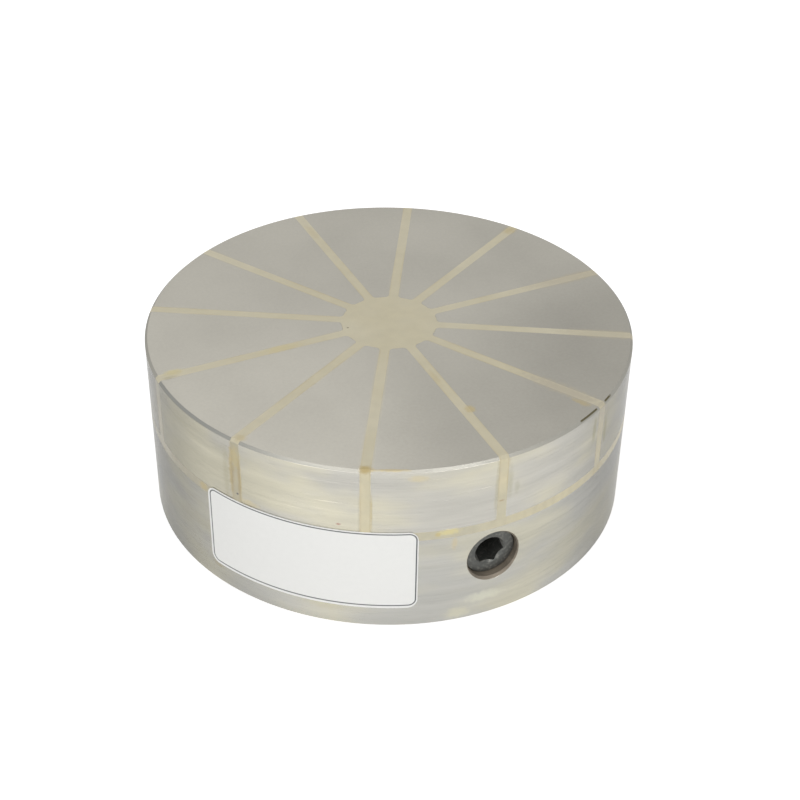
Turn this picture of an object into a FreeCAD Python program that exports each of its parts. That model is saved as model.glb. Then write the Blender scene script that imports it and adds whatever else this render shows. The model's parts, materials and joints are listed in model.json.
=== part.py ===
"""Round permanent magnetic chuck with radial poles, switched by a hexagon key in its side.

A steel base carries a ring of cast resin and, on it, twelve steel pole segments that a resin
spider keeps apart.  Inside, a steel rotor carries twelve sector magnets.  The key shaft ends
in a ball crank whose ball sits in a slot of the rotor's hub: half a turn of the key swings the
rotor by half a pole pitch, from magnets under the resin arms (off) to magnets under the poles (on).

Millimetres.  +Z is up, the base stands on Z = 0 with its axis on Z, and the key enters along +Y.
"""

import FreeCAD
import Part
import math
import os
import re
import Sketcher

# ---------------------------------------------------------------- driving dimensions

SIZES = [
    # the chuck as a whole
    ("chuck_diameter", 150.0, "outside diameter of base, ring and poles"),
    ("ring_thickness", 3.0, "resin ring between base and poles"),
    ("rim_width", 17.0, "wall around the rotor, in ring and poles"),
    ("base_chamfer", 0.6, "on the outer edge of the mounting face"),
    ("rim_chamfer", 0.8, "on the outer edge of the working face"),
    # pole plate
    ("pole_count", 12, "steel poles, and as many magnets"),
    ("pole_clocking", 1.2, "turn of the pole plate against the key, degrees"),
    ("plate_thickness", 8.0, "poles and resin above the rotor"),
    ("strip_width", 3.0, "resin between two poles"),
    ("hub_diameter", 29.6, "resin in the middle of the working face"),
    ("pole_tip_radius", 1.5, "upright edges at the poles' inner ends"),
    # rotor and magnets
    ("rotor_gap", 0.3, "yoke above the base"),
    ("yoke_thickness", 7.0, "rotor's flange"),
    ("rotor_side_gap", 2.0, "yoke to the wall around it"),
    ("drive_hub_diameter", 75.0, "rotor's hub, which holds the drive slot"),
    ("drive_hub_gap", 1.0, "hub to the wall of its pocket"),
    ("magnet_height", 8.4, "sector magnets"),
    ("magnet_spacing", 2.0, "between two magnets"),
    ("magnet_edge", 0.5, "magnet's outer side inside the yoke's edge"),
    ("glue_gap", 0.05, "bonded joints on curved faces"),
    ("collar_wall", 4.0, "collar that centres the magnets"),
    ("collar_height", 4.2, "the same, above the yoke"),
    ("running_gap", 0.1, "flat faces that slide on each other"),
    ("slide_disc_thickness", 1.0, "bronze disc between magnets and poles"),
    ("slide_disc_gap", 0.5, "disc and washer to the post and the wall"),
    ("washer_thickness", 1.0, "bronze washer below the hub"),
    ("washer_diameter", 48.0, "the same, outside"),
    # centre post and its bush
    ("post_diameter", 20.0, "non-magnetic post on which the rotor turns"),
    ("post_shoulder", 3.0, "post on the base, around its spigot"),
    ("spigot_height", 3.0, "post's foot in the base"),
    ("post_seat_thickness", 5.0, "base between the centring recess and the spigot"),
    ("bush_wall", 3.0, "bronze bush in the rotor"),
    ("fit_gap", 0.03, "radial clearance of turning and locating fits"),
    # key shaft
    ("key_height", 21.9, "axis of the key shaft above the mounting face"),
    ("key_cover", 2.37, "base above the shaft's bore"),
    ("key_diameter", 16.0, "key shaft"),
    ("key_recess", 2.6, "shaft's face below the chuck's side"),
    ("key_face_chamfer", 0.35, "edge of the shaft's face"),
    ("bore_chamfer", 0.8, "mouth of the bore for the shaft"),
    ("hexagon", 8.0, "key size across flats"),
    ("hexagon_depth", 8.5, "socket's depth"),
    ("hexagon_tilt", -9.0, "socket's turn in the off position, degrees"),
    ("hexagon_lead", 0.1, "countersink of the socket, past its corners"),
    ("crank_depth", 3.0, "ball's centre inside the hub's wall"),
    ("ball_diameter", 6.8, "crank's ball"),
    ("neck_diameter", 4.6, "crank's neck"),
    ("crank_end_gap", 1.0, "shaft's inner end behind the pocket's wall"),
    ("slot_gap", 0.2, "ball in its slot, each side, where they come closest"),
    ("slot_relief", 0.215, "share of the throw by which the ball strays from a steady ratio"),
    ("slot_end_gap", 1.6, "ball to the slot's floor"),
    # seal and stop on the key shaft
    ("seal_position", 7.0, "O-ring behind the shaft's face"),
    ("seal_width", 2.6, "O-ring groove"),
    ("seal_depth", 1.7, "the same"),
    ("seal_cord", 1.62, "O-ring's cord as squeezed"),
    ("stop_position", 16.0, "stop groove behind the shaft's face"),
    ("stop_depth", 2.2, "stop groove"),
    ("stop_side_gap", 0.2, "dog in the groove, each side"),
    ("dog_diameter", 4.0, "tip of the stop screw"),
    ("stop_screw_diameter", 6.0, "stop screw"),
    ("stop_screw_recess", 1.5, "stop screw's foot inside the mounting face"),
    ("stop_screw_hexagon", 3.0, "its socket"),
    ("stop_screw_socket_depth", 3.5, "the same"),
    ("dog_shoulder_gap", 0.5, "thread of the stop screw to the shaft"),
    ("dog_tip_gap", 0.2, "dog to the groove's floor"),
    # screws that hold the poles, and the one that holds the post
    ("pole_screw_diameter", 5.0, "cap screws"),
    ("pole_screw_length", 40.0, "the same, under the head"),
    ("pole_screw_head", 8.5, "head's diameter"),
    ("pole_screw_head_height", 5.0, "head's height"),
    ("pole_screw_hexagon", 4.0, "head's socket"),
    ("pole_screw_socket_depth", 2.6, "the same"),
    ("pole_screw_play", 0.25, "shank in base and ring, each side"),
    ("pole_screw_recess", 2.0, "head below the mounting face"),
    ("counterbore_gap", 0.5, "head in its counterbore, each side"),
    ("thread_gap", 0.02, "screws in their tapped holes, each side"),
    ("thread_runout", 1.5, "tapped holes deeper than their screws"),
    ("post_screw_diameter", 6.0, "countersunk screw of the post"),
    ("post_screw_length", 16.0, "the same, overall"),
    ("post_screw_head", 12.0, "its head"),
    ("post_screw_land", 0.4, "cylindrical edge of that head"),
    ("post_screw_recess", 0.3, "head below the register's floor"),
    ("post_screw_play", 0.3, "shank in the base, each side"),
    ("post_screw_hexagon", 4.0, "its socket"),
    ("post_screw_socket_depth", 2.2, "the same"),
    # interfaces on the mounting face
    ("register_diameter", 50.0, "centring recess"),
    ("register_depth", 4.0, "the same"),
    ("register_chamfer", 0.5, "its mouth"),
    ("fixing_circle", 100.0, "pitch circle of the tapped holes"),
    ("fixing_count", 4, "tapped holes, M8"),
    ("fixing_hole", 6.8, "their core diameter"),
    ("fixing_depth", 14.0, "the same"),
    ("fixing_turn", 45.0, "first hole's angle, degrees"),
    # self-adhesive label on the side
    ("label_length", 66.1, "along the chuck's side"),
    ("label_height", 28.2, "the same"),
    ("label_overlap", 0.3, "label's upper edge above the ring"),
    ("label_angle", -132.55, "its middle, degrees"),
    ("label_corner", 3.0, "corner radius"),
    ("label_thickness", 0.2, "film"),
]

# ---------------------------------------------------------------- sizes that follow from them

CHUCK_RADIUS = "(chuck_diameter / 2)"
CAVITY_RADIUS = "(chuck_diameter / 2 - rim_width)"
KEY_RADIUS = "(key_diameter / 2)"
KEY_BORE_RADIUS = f"({KEY_RADIUS} + fit_gap)"
FLOOR = "(register_depth + post_seat_thickness + spigot_height)"
BASE_TOP = f"(key_height + {KEY_BORE_RADIUS} + key_cover)"
RING_TOP = f"({BASE_TOP} + ring_thickness)"
YOKE_BOTTOM = f"({BASE_TOP} + rotor_gap)"
YOKE_TOP = f"({YOKE_BOTTOM} + yoke_thickness)"
MAGNET_TOP = f"({YOKE_TOP} + magnet_height)"
SLIDE_BOTTOM = f"({MAGNET_TOP} + running_gap)"
CAVITY_TOP = f"({SLIDE_BOTTOM} + slide_disc_thickness)"
CHUCK_TOP = f"({CAVITY_TOP} + plate_thickness)"
PITCH = "(360 / pole_count)"
FIRST_STRIP = "(pole_clocking - 90)"
FIRST_POLE = f"({FIRST_STRIP} + {PITCH} / 2)"
HALF_SWING = f"({PITCH} / 4)"
POST_RADIUS = "(post_diameter / 2)"
SPIGOT_RADIUS = f"({POST_RADIUS} - post_shoulder)"
SPIGOT_BORE = f"({SPIGOT_RADIUS} + fit_gap)"
BUSH_BORE = f"({POST_RADIUS} + fit_gap)"
BUSH_RADIUS = f"({BUSH_BORE} + bush_wall)"
COLLAR_RADIUS = f"({BUSH_RADIUS} + collar_wall)"
YOKE_RADIUS = f"({CAVITY_RADIUS} - rotor_side_gap)"
HUB_RADIUS = "(drive_hub_diameter / 2)"
HUB_POCKET_RADIUS = f"({HUB_RADIUS} + drive_hub_gap)"
HUB_BOTTOM = f"({FLOOR} + washer_thickness + running_gap)"
COLLAR_TOP = f"({YOKE_TOP} + collar_height)"
SLIDE_RADIUS = f"({CAVITY_RADIUS} - slide_disc_gap)"
POST_CLEARANCE = f"({POST_RADIUS} + slide_disc_gap)"
KEY_FACE = f"({CHUCK_RADIUS} - key_recess)"
KEY_END = f"({HUB_POCKET_RADIUS} + crank_end_gap)"
CRANK_RADIUS = f"({HUB_RADIUS} - crank_depth)"
CRANK_THROW = f"({CRANK_RADIUS} * sin({HALF_SWING} * 1 deg))"
SLOT_RADIUS = f"(ball_diameter / 2 + slot_gap + {CRANK_THROW} * slot_relief)"
SEAL_RADIUS = f"({KEY_FACE} - seal_position)"
STOP_RADIUS = f"({KEY_FACE} - stop_position)"
STOP_HALF_WIDTH = "(dog_diameter / 2 + stop_side_gap)"
STOP_ANGLE = f"(180 + 2 * asin({STOP_HALF_WIDTH} / ({KEY_RADIUS} - stop_depth)) / 1 deg)"
STOP_SCREW_HOLE = "(stop_screw_diameter + 2 * thread_gap)"
POST_SCREW_FACE = "(register_depth + post_screw_recess)"
POST_SCREW_HOLE = "(post_screw_diameter + 2 * post_screw_play)"
SCREW_CIRCLE_RADIUS = f"(({CHUCK_RADIUS} + {CAVITY_RADIUS}) / 2)"
POLE_SCREW_HOLE = "(pole_screw_diameter + 2 * pole_screw_play)"
TAPPED_HOLE = "(pole_screw_diameter + 2 * thread_gap)"
SCREW_SEAT = "(pole_screw_recess + pole_screw_head_height)"
SCREW_TIP = f"({SCREW_SEAT} + pole_screw_length)"
LABEL_RADIUS = f"({CHUCK_RADIUS} + glue_gap)"
LABEL_BOTTOM = f"({RING_TOP} + label_overlap - label_height)"

doc = FreeCAD.newDocument("MagneticChuck")
sheet = doc.addObject("Spreadsheet::Sheet", "Sizes")
for row, (alias, value, note) in enumerate(SIZES, start=1):
    sheet.set(f"A{row}", alias.replace("_", " "))
    sheet.set(f"B{row}", str(value))
    sheet.set(f"C{row}", note)
    sheet.setAlias(f"B{row}", alias)
doc.recompute()
ALIASES = {alias for alias, _, _ in SIZES}
POLES = int(sheet.pole_count)


# ---------------------------------------------------------------- sketches

def linked(expression):
    """The expression with each size written as the sheet's cell, for use outside the sheet."""

    def cell(word):
        return f"Sizes.{word[0]}" if word[0] in ALIASES else word[0]

    return re.sub(r"[a-z_]\w*", cell, expression)


def value_of(expression):
    """What the expression comes to with the sheet's present sizes."""
    return float(sheet.evalExpression(expression))


def origin_feature(body, role):
    return next(feature for feature in body.Origin.OriginFeatures if feature.Role == role)


def new_body(label):
    body = doc.addObject("PartDesign::Body", label)
    body.Label = label
    return body


def new_sketch(body, name, plane="XY_Plane", along="0", up="0", out="0"):
    """A sketch on one of the body's origin planes.

    Its own origin can stand off the body's: along and up in the plane, out along its normal.
    """
    sketch = body.newObject("Sketcher::SketchObject", name)
    sketch.AttachmentSupport = (origin_feature(body, plane), [""])
    sketch.MapMode = "FlatFace"
    for axis, offset in (("x", along), ("y", up), ("z", out)):
        sketch.setExpression(f"AttachmentOffset.Base.{axis}", linked(offset))
    return sketch


def constrain(sketch, kind, *where, size):
    """A dimension that follows an expression; lengths in millimetres, angles in degrees."""
    is_angle = kind == "Angle"
    start = math.radians(value_of(size)) if is_angle else value_of(size)
    number = sketch.addConstraint(Sketcher.Constraint(kind, *where, start))
    unit = " * 1 deg" if is_angle else ""
    sketch.setExpression(f"Constraints[{number}]", linked(f"({size}){unit}"))


def place_point(sketch, geometry, end, x, y):
    constrain(sketch, "DistanceX", -1, 1, geometry, end, size=x)
    constrain(sketch, "DistanceY", -1, 1, geometry, end, size=y)


def polygon(sketch, corners):
    """A closed outline of straight lines through corners, each a pair of expressions."""
    points = [FreeCAD.Vector(value_of(x), value_of(y), 0) for x, y in corners]
    lines = [
        sketch.addGeometry(Part.LineSegment(point, following))
        for point, following in zip(points, points[1:] + points[:1])
    ]
    for line, following in zip(lines, lines[1:] + lines[:1]):
        sketch.addConstraint(Sketcher.Constraint("Coincident", line, 2, following, 1))
    for line, (x, y) in zip(lines, corners):
        place_point(sketch, line, 1, x, y)


def circle(sketch, diameter, x="0", y="0"):
    centre = FreeCAD.Vector(value_of(x), value_of(y), 0)
    ring = sketch.addGeometry(Part.Circle(centre, FreeCAD.Vector(0, 0, 1), value_of(diameter) / 2))
    place_point(sketch, ring, 3, x, y)
    constrain(sketch, "Diameter", ring, size=diameter)


def polar(radius, degrees):
    """The X and Y expressions of a point at a radius and an angle."""
    return f"{radius} * cos(({degrees}) * 1 deg)", f"{radius} * sin(({degrees}) * 1 deg)"


def hexagon(sketch, across_flats, tilt="0"):
    """A hexagon about the sketch's own origin, with a corner at the angle tilt."""
    polygon(sketch, [polar(f"{across_flats} / sqrt(3)", f"{tilt} + {60 * corner}") for corner in range(6)])


def sector(sketch, inner, outer, half_angle, inset="0"):
    """A ring sector about the sketch's X axis.

    Its sides run parallel to the radii at plus and minus half_angle, and inset from them.
    """
    low, high = value_of(inner), value_of(outer)
    angle, gap = math.radians(value_of(half_angle)), value_of(inset)
    centre, normal = FreeCAD.Vector(), FreeCAD.Vector(0, 0, 1)

    def corner(radius, side):
        turn = side * (angle - math.asin(gap / radius))
        return FreeCAD.Vector(radius * math.cos(turn), radius * math.sin(turn), 0)

    def arc(radius):
        turn = angle - math.asin(gap / radius)
        return sketch.addGeometry(Part.ArcOfCircle(Part.Circle(centre, normal, radius), -turn, turn))

    inner_arc = arc(low)
    outer_arc = arc(high)
    right_side = sketch.addGeometry(Part.LineSegment(corner(low, -1), corner(high, -1)))
    left_side = sketch.addGeometry(Part.LineSegment(corner(low, 1), corner(high, 1)))
    for side, arc_end in ((right_side, 1), (left_side, 2)):
        sketch.addConstraint(Sketcher.Constraint("Coincident", inner_arc, arc_end, side, 1))
        sketch.addConstraint(Sketcher.Constraint("Coincident", outer_arc, arc_end, side, 2))
    for curve, radius in ((inner_arc, inner), (outer_arc, outer)):
        sketch.addConstraint(Sketcher.Constraint("Coincident", curve, 3, -1, 1))
        constrain(sketch, "Radius", curve, size=radius)
    for side, sign in ((right_side, "-"), (left_side, "")):
        constrain(sketch, "Angle", side, size=f"{sign}({half_angle})")
        if gap:
            constrain(sketch, "Distance", -1, 1, side, size=inset)
        else:
            sketch.addConstraint(Sketcher.Constraint("PointOnObject", -1, 1, side))


def obround(sketch, radius, low, high):
    """An upright slot on the sketch's Y axis, with round ends centred at the heights low and high."""
    reach, bottom, top = value_of(radius), value_of(low), value_of(high)
    normal = FreeCAD.Vector(0, 0, 1)

    def end_arc(height, start):
        end_circle = Part.Circle(FreeCAD.Vector(0, height, 0), normal, reach)
        return sketch.addGeometry(Part.ArcOfCircle(end_circle, start, start + math.pi))

    def side_line(x, start, end):
        return sketch.addGeometry(Part.LineSegment(FreeCAD.Vector(x, start, 0), FreeCAD.Vector(x, end, 0)))

    outline = [
        end_arc(top, 0),
        side_line(-reach, top, bottom),
        end_arc(bottom, math.pi),
        side_line(reach, bottom, top),
    ]
    for curve, following in zip(outline, outline[1:] + outline[:1]):
        sketch.addConstraint(Sketcher.Constraint("Tangent", curve, 2, following, 1))
    place_point(sketch, outline[0], 3, "0", high)
    constrain(sketch, "DistanceY", -1, 1, outline[2], 3, size=low)
    constrain(sketch, "Radius", outline[0], size=radius)


def half_disc(sketch, radius):
    """The right half of a disc about the sketch's own origin."""
    reach = value_of(radius)
    centre, normal = FreeCAD.Vector(), FreeCAD.Vector(0, 0, 1)
    low, high = FreeCAD.Vector(0, -reach, 0), FreeCAD.Vector(0, reach, 0)
    arc = sketch.addGeometry(Part.ArcOfCircle(Part.Circle(centre, normal, reach), -math.pi / 2, math.pi / 2))
    side = sketch.addGeometry(Part.LineSegment(high, low))
    sketch.addConstraint(Sketcher.Constraint("Coincident", arc, 3, -1, 1))
    sketch.addConstraint(Sketcher.Constraint("Coincident", arc, 2, side, 1))
    sketch.addConstraint(Sketcher.Constraint("Coincident", arc, 1, side, 2))
    sketch.addConstraint(Sketcher.Constraint("PointOnObject", arc, 1, -2))
    sketch.addConstraint(Sketcher.Constraint("PointOnObject", arc, 2, -2))
    constrain(sketch, "Radius", arc, size=radius)


# ---------------------------------------------------------------- features

REMOVING = ("Pocket", "Groove", "Hole")


def volume_of(body):
    return 0.0 if body.Shape.isNull() else body.Shape.Volume


def feature(body, kind, name, profile, settings=None, **sizes):
    """A PartDesign feature on a sketch; sizes are expressions, and settings are plain values.

    It must add material to the body, or take some away if it is of a removing kind.
    """
    before = volume_of(body)
    made = body.newObject(f"PartDesign::{kind}", name)
    made.Profile = profile
    doc.recompute()
    for setting, value in (settings or {}).items():
        setattr(made, setting, value)
    for size, expression in sizes.items():
        made.setExpression(size, linked(expression))
    doc.recompute()
    gain = volume_of(body) - before
    if gain == 0 or (gain < 0) != (kind in REMOVING):
        raise ValueError(f"{name} of {body.Label} misses its material")
    return made


def revolve(body, name, profile):
    """Turns the profile about the upright axis of its sketch."""
    return feature(body, "Revolution", name, profile, {"ReferenceAxis": (profile, ["V_Axis"]), "Angle": 360})


def groove(body, name, profile, angle="360"):
    """Cuts the profile, turned about the upright axis of its sketch, evenly to both sides."""
    settings = {"ReferenceAxis": (profile, ["V_Axis"]), "Midplane": True}
    return feature(body, "Groove", name, profile, settings, Angle=angle)


def pad(body, name, profile, length, backwards=False):
    return feature(body, "Pad", name, profile, {"Reversed": backwards}, Length=length)


def pocket(body, name, profile, length, backwards=False):
    """Cuts against the sketch's normal, or along it if backwards."""
    return feature(body, "Pocket", name, profile, {"Reversed": backwards}, Length=length)


def hole(body, name, profile, diameter, depth, cut=None, cut_diameter="0", cut_depth="0", point="Flat"):
    """A hole drilled upwards, with a counterbore or countersink if cut names one."""
    settings = {"Reversed": True, "DepthType": "Dimension", "DrillPoint": point}
    sizes = {"Diameter": diameter, "Depth": depth}
    if cut:
        settings.update(HoleCutType=cut, HoleCutCustomValues=True)
        sizes.update(HoleCutDiameter=cut_diameter, HoleCutDepth=cut_depth)
    return feature(body, "Hole", name, profile, settings, **sizes)


def fillet(body, name, base, radius, chosen):
    """Rounds those edges of the feature base for which chosen is true."""
    rounded = body.newObject("PartDesign::Fillet", name)
    edges = enumerate(base.Shape.Edges, start=1)
    rounded.Base = (base, [f"Edge{number}" for number, edge in edges if chosen(edge)])
    rounded.setExpression("Radius", linked(radius))
    doc.recompute()
    return rounded


def around(body, name, originals, count):
    """Repeats features evenly around the body's Z axis."""
    pattern = body.newObject("PartDesign::PolarPattern", name)
    pattern.Originals = originals
    pattern.Axis = (origin_feature(body, "Z_Axis"), [""])
    pattern.Angle = 360
    pattern.setExpression("Occurrences", linked(count))
    body.Tip = pattern
    doc.recompute()
    return pattern


def turn(body, degrees):
    body.setExpression("Placement.Rotation.Angle", linked(degrees))


def move(body, **offsets):
    for axis, offset in offsets.items():
        body.setExpression(f"Placement.Base.{axis}", linked(offset))


# ---------------------------------------------------------------- base

def make_base_body():
    """Turned steel base with the hub's pocket, the key's bore and all holes of the mounting face."""
    body = new_body("base_body")
    section = new_sketch(body, "base_section", "XZ_Plane")
    polygon(
        section,
        [
            ("0", "register_depth"),
            ("register_diameter / 2", "register_depth"),
            ("register_diameter / 2", "register_chamfer"),
            ("register_diameter / 2 + register_chamfer", "0"),
            (f"{CHUCK_RADIUS} - base_chamfer", "0"),
            (CHUCK_RADIUS, "base_chamfer"),
            (CHUCK_RADIUS, BASE_TOP),
            (HUB_POCKET_RADIUS, BASE_TOP),
            (HUB_POCKET_RADIUS, FLOOR),
            (SPIGOT_BORE, FLOOR),
            (SPIGOT_BORE, f"{FLOOR} - spigot_height"),
            ("0", f"{FLOOR} - spigot_height"),
        ],
    )
    revolve(body, "turned_base", section)

    bore = new_sketch(body, "key_bore_circle", "XZ_Plane", out=CHUCK_RADIUS)
    circle(bore, "2 * " + KEY_BORE_RADIUS, y="key_height")
    pocket(body, "key_bore", bore, f"{CHUCK_RADIUS} - {HUB_RADIUS}")
    mouth = new_sketch(body, "key_bore_mouth_circle", "XZ_Plane", out=CHUCK_RADIUS)
    circle(mouth, f"2 * ({KEY_BORE_RADIUS} + bore_chamfer)", y="key_height")
    feature(body, "Pocket", "key_bore_mouth", mouth, {"TaperAngle": -45}, Length="bore_chamfer")

    seat = new_sketch(body, "post_screw_circle", out="register_depth")
    circle(seat, POST_SCREW_HOLE)
    hole(
        body,
        "post_screw_seat",
        seat,
        POST_SCREW_HOLE,
        "post_seat_thickness",
        cut="Countersink",
        cut_diameter="post_screw_head + 2 * (post_screw_recess + post_screw_land + glue_gap)",
    )

    stop = new_sketch(body, "stop_screw_circle")
    circle(stop, STOP_SCREW_HOLE, y=f"-{STOP_RADIUS}")
    hole(body, "stop_screw_hole", stop, STOP_SCREW_HOLE, "key_height")

    bolt = new_sketch(body, "pole_screw_circle")
    circle(bolt, POLE_SCREW_HOLE, *polar(SCREW_CIRCLE_RADIUS, FIRST_POLE))
    bolt_hole = hole(
        body,
        "pole_screw_hole",
        bolt,
        POLE_SCREW_HOLE,
        BASE_TOP,
        cut="Counterbore",
        cut_diameter="pole_screw_head + 2 * counterbore_gap",
        cut_depth=SCREW_SEAT,
    )
    around(body, "pole_screw_holes", [bolt_hole], "pole_count")

    fixing = new_sketch(body, "fixing_circle_hole")
    circle(fixing, "fixing_hole", *polar("fixing_circle / 2", "fixing_turn"))
    fixing_hole = hole(body, "fixing_hole", fixing, "fixing_hole", "fixing_depth", point="Angled")
    around(body, "fixing_holes", [fixing_hole], "fixing_count")
    return body


def make_flat_ring(label, inner, outer, bottom, thickness):
    """A ring between two radii, standing at the height bottom."""
    body = new_body(label)
    outline = new_sketch(body, f"{label}_outline", out=bottom)
    circle(outline, f"2 * ({outer})")
    circle(outline, f"2 * ({inner})")
    pad(body, f"{label}_plate", outline, thickness)
    return body


def make_isolating_ring():
    """Cast resin ring that keeps the field of the poles away from the base."""
    body = make_flat_ring("isolating_ring", CAVITY_RADIUS, CHUCK_RADIUS, BASE_TOP, "ring_thickness")
    bolt = new_sketch(body, "ring_screw_circle", out=BASE_TOP)
    circle(bolt, POLE_SCREW_HOLE, *polar(SCREW_CIRCLE_RADIUS, FIRST_POLE))
    bolt_hole = pocket(body, "ring_screw_hole", bolt, "ring_thickness", backwards=True)
    around(body, "ring_screw_holes", [bolt_hole], "pole_count")
    return body


# ---------------------------------------------------------------- pole plate

def cut_rim_chamfer(body, name):
    """The chamfer between the working face and the chuck's side."""
    corner = new_sketch(body, f"{name}_rim_corner", "XZ_Plane")
    polygon(
        corner,
        [
            (f"{CHUCK_RADIUS} - rim_chamfer", CHUCK_TOP),
            (CHUCK_RADIUS, f"{CHUCK_TOP} - rim_chamfer"),
            (CHUCK_RADIUS, CHUCK_TOP),
        ],
    )
    groove(body, f"{name}_rim_chamfer", corner)


def is_pole_tip(edge):
    """Whether an edge stands upright where a pole meets the resin hub."""
    middle = edge.CenterOfMass
    at_hub = math.hypot(middle.x, middle.y) < value_of("hub_diameter")
    return at_hub and edge.BoundBox.ZLength > value_of("plate_thickness / 2")


def make_pole_segment(index):
    """One steel pole: a sector of the working face with its part of the wall around the rotor."""
    name = f"pole_segment_{index + 1:02d}"
    body = new_body(name)
    face = new_sketch(body, f"{name}_face", out=CAVITY_TOP)
    sector(face, "hub_diameter / 2 + glue_gap", CHUCK_RADIUS, f"{PITCH} / 2", "strip_width / 2")
    plate = pad(body, f"{name}_plate", face, "plate_thickness")
    fillet(body, f"{name}_tip", plate, "pole_tip_radius", is_pole_tip)
    foot = new_sketch(body, f"{name}_foot", out=RING_TOP)
    sector(foot, CAVITY_RADIUS, CHUCK_RADIUS, f"{PITCH} / 2", "strip_width / 2")
    pad(body, f"{name}_wall", foot, f"{CAVITY_TOP} - {RING_TOP}")
    tapped = new_sketch(body, f"{name}_tapped_circle", out=RING_TOP)
    circle(tapped, TAPPED_HOLE, x=SCREW_CIRCLE_RADIUS)
    depth = f"{SCREW_TIP} + thread_runout - {RING_TOP}"
    hole(body, f"{name}_tapped_hole", tapped, TAPPED_HOLE, depth)
    cut_rim_chamfer(body, name)
    turn(body, f"{FIRST_POLE} + {index} * {PITCH}")
    return body


def make_resin_spider():
    """Resin hub with an arm between every two poles, cast from the working face to the ring."""
    body = new_body("resin_spider")
    section = new_sketch(body, "resin_section", "XZ_Plane")
    polygon(
        section,
        [
            ("0", CAVITY_TOP),
            (CAVITY_RADIUS, CAVITY_TOP),
            (CAVITY_RADIUS, RING_TOP),
            (CHUCK_RADIUS, RING_TOP),
            (CHUCK_RADIUS, CHUCK_TOP),
            ("0", CHUCK_TOP),
        ],
    )
    revolve(body, "resin_casting", section)
    cut_rim_chamfer(body, "resin")
    gap = new_sketch(body, "pole_outline", out=CHUCK_TOP)
    outside = f"{CHUCK_RADIUS} + rim_width"
    sector(gap, "hub_diameter / 2", outside, f"{PITCH} / 2", "strip_width / 2")
    pole_gap = pocket(body, "pole_gap", gap, f"{CHUCK_TOP} - {RING_TOP}")
    pole_gaps = around(body, "pole_gaps", [pole_gap], "pole_count")
    fillet(body, "pole_tip_gaps", pole_gaps, "pole_tip_radius", is_pole_tip)
    turn(body, FIRST_POLE)
    return body


# ---------------------------------------------------------------- rotor

def make_rotor():
    """Steel rotor: a hub with the drive slot, the yoke behind the magnets, and their collar."""
    body = new_body("rotor")
    bore = f"{BUSH_RADIUS} + glue_gap"
    section = new_sketch(body, "rotor_section", "XZ_Plane")
    polygon(
        section,
        [
            (bore, HUB_BOTTOM),
            (HUB_RADIUS, HUB_BOTTOM),
            (HUB_RADIUS, YOKE_BOTTOM),
            (YOKE_RADIUS, YOKE_BOTTOM),
            (YOKE_RADIUS, YOKE_TOP),
            (COLLAR_RADIUS, YOKE_TOP),
            (COLLAR_RADIUS, COLLAR_TOP),
            (bore, COLLAR_TOP),
        ],
    )
    revolve(body, "turned_rotor", section)
    slot = new_sketch(body, "drive_slot_outline", "XZ_Plane", out=HUB_RADIUS)
    obround(slot, SLOT_RADIUS, "key_height", f"key_height + {CRANK_THROW}")
    pocket(body, "drive_slot", slot, "crank_depth + ball_diameter / 2 + slot_end_gap")
    turn(body, f"-{HALF_SWING}")
    return body


def make_magnet(index):
    """A sector magnet on the yoke, magnetised along Z, the other way round than its neighbours."""
    name = f"magnet_{index + 1:02d}"
    body = new_body(name)
    outline = new_sketch(body, f"{name}_outline", out=YOKE_TOP)
    outer = f"{YOKE_RADIUS} - magnet_edge"
    sector(outline, f"{COLLAR_RADIUS} + glue_gap", outer, f"{PITCH} / 2", "magnet_spacing / 2")
    pad(body, f"{name}_block", outline, "magnet_height")
    turn(body, f"{FIRST_STRIP} + {index} * {PITCH}")
    return body


def make_centre_post():
    """Non-magnetic post on which the rotor turns; it also carries the middle of the pole plate."""
    body = new_body("centre_post")
    foot = f"{FLOOR} - spigot_height + running_gap"
    section = new_sketch(body, "post_section", "XZ_Plane")
    polygon(
        section,
        [
            ("0", foot),
            (SPIGOT_RADIUS, foot),
            (SPIGOT_RADIUS, FLOOR),
            (POST_RADIUS, FLOOR),
            (POST_RADIUS, CAVITY_TOP),
            ("0", CAVITY_TOP),
        ],
    )
    revolve(body, "turned_post", section)
    tapped = new_sketch(body, "post_tapped_circle", out=foot)
    circle(tapped, "post_screw_diameter + 2 * thread_gap")
    depth = f"{POST_SCREW_FACE} + post_screw_length + thread_runout - ({foot})"
    hole(body, "post_tapped_hole", tapped, "post_screw_diameter + 2 * thread_gap", depth)
    return body


# ---------------------------------------------------------------- key shaft

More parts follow.
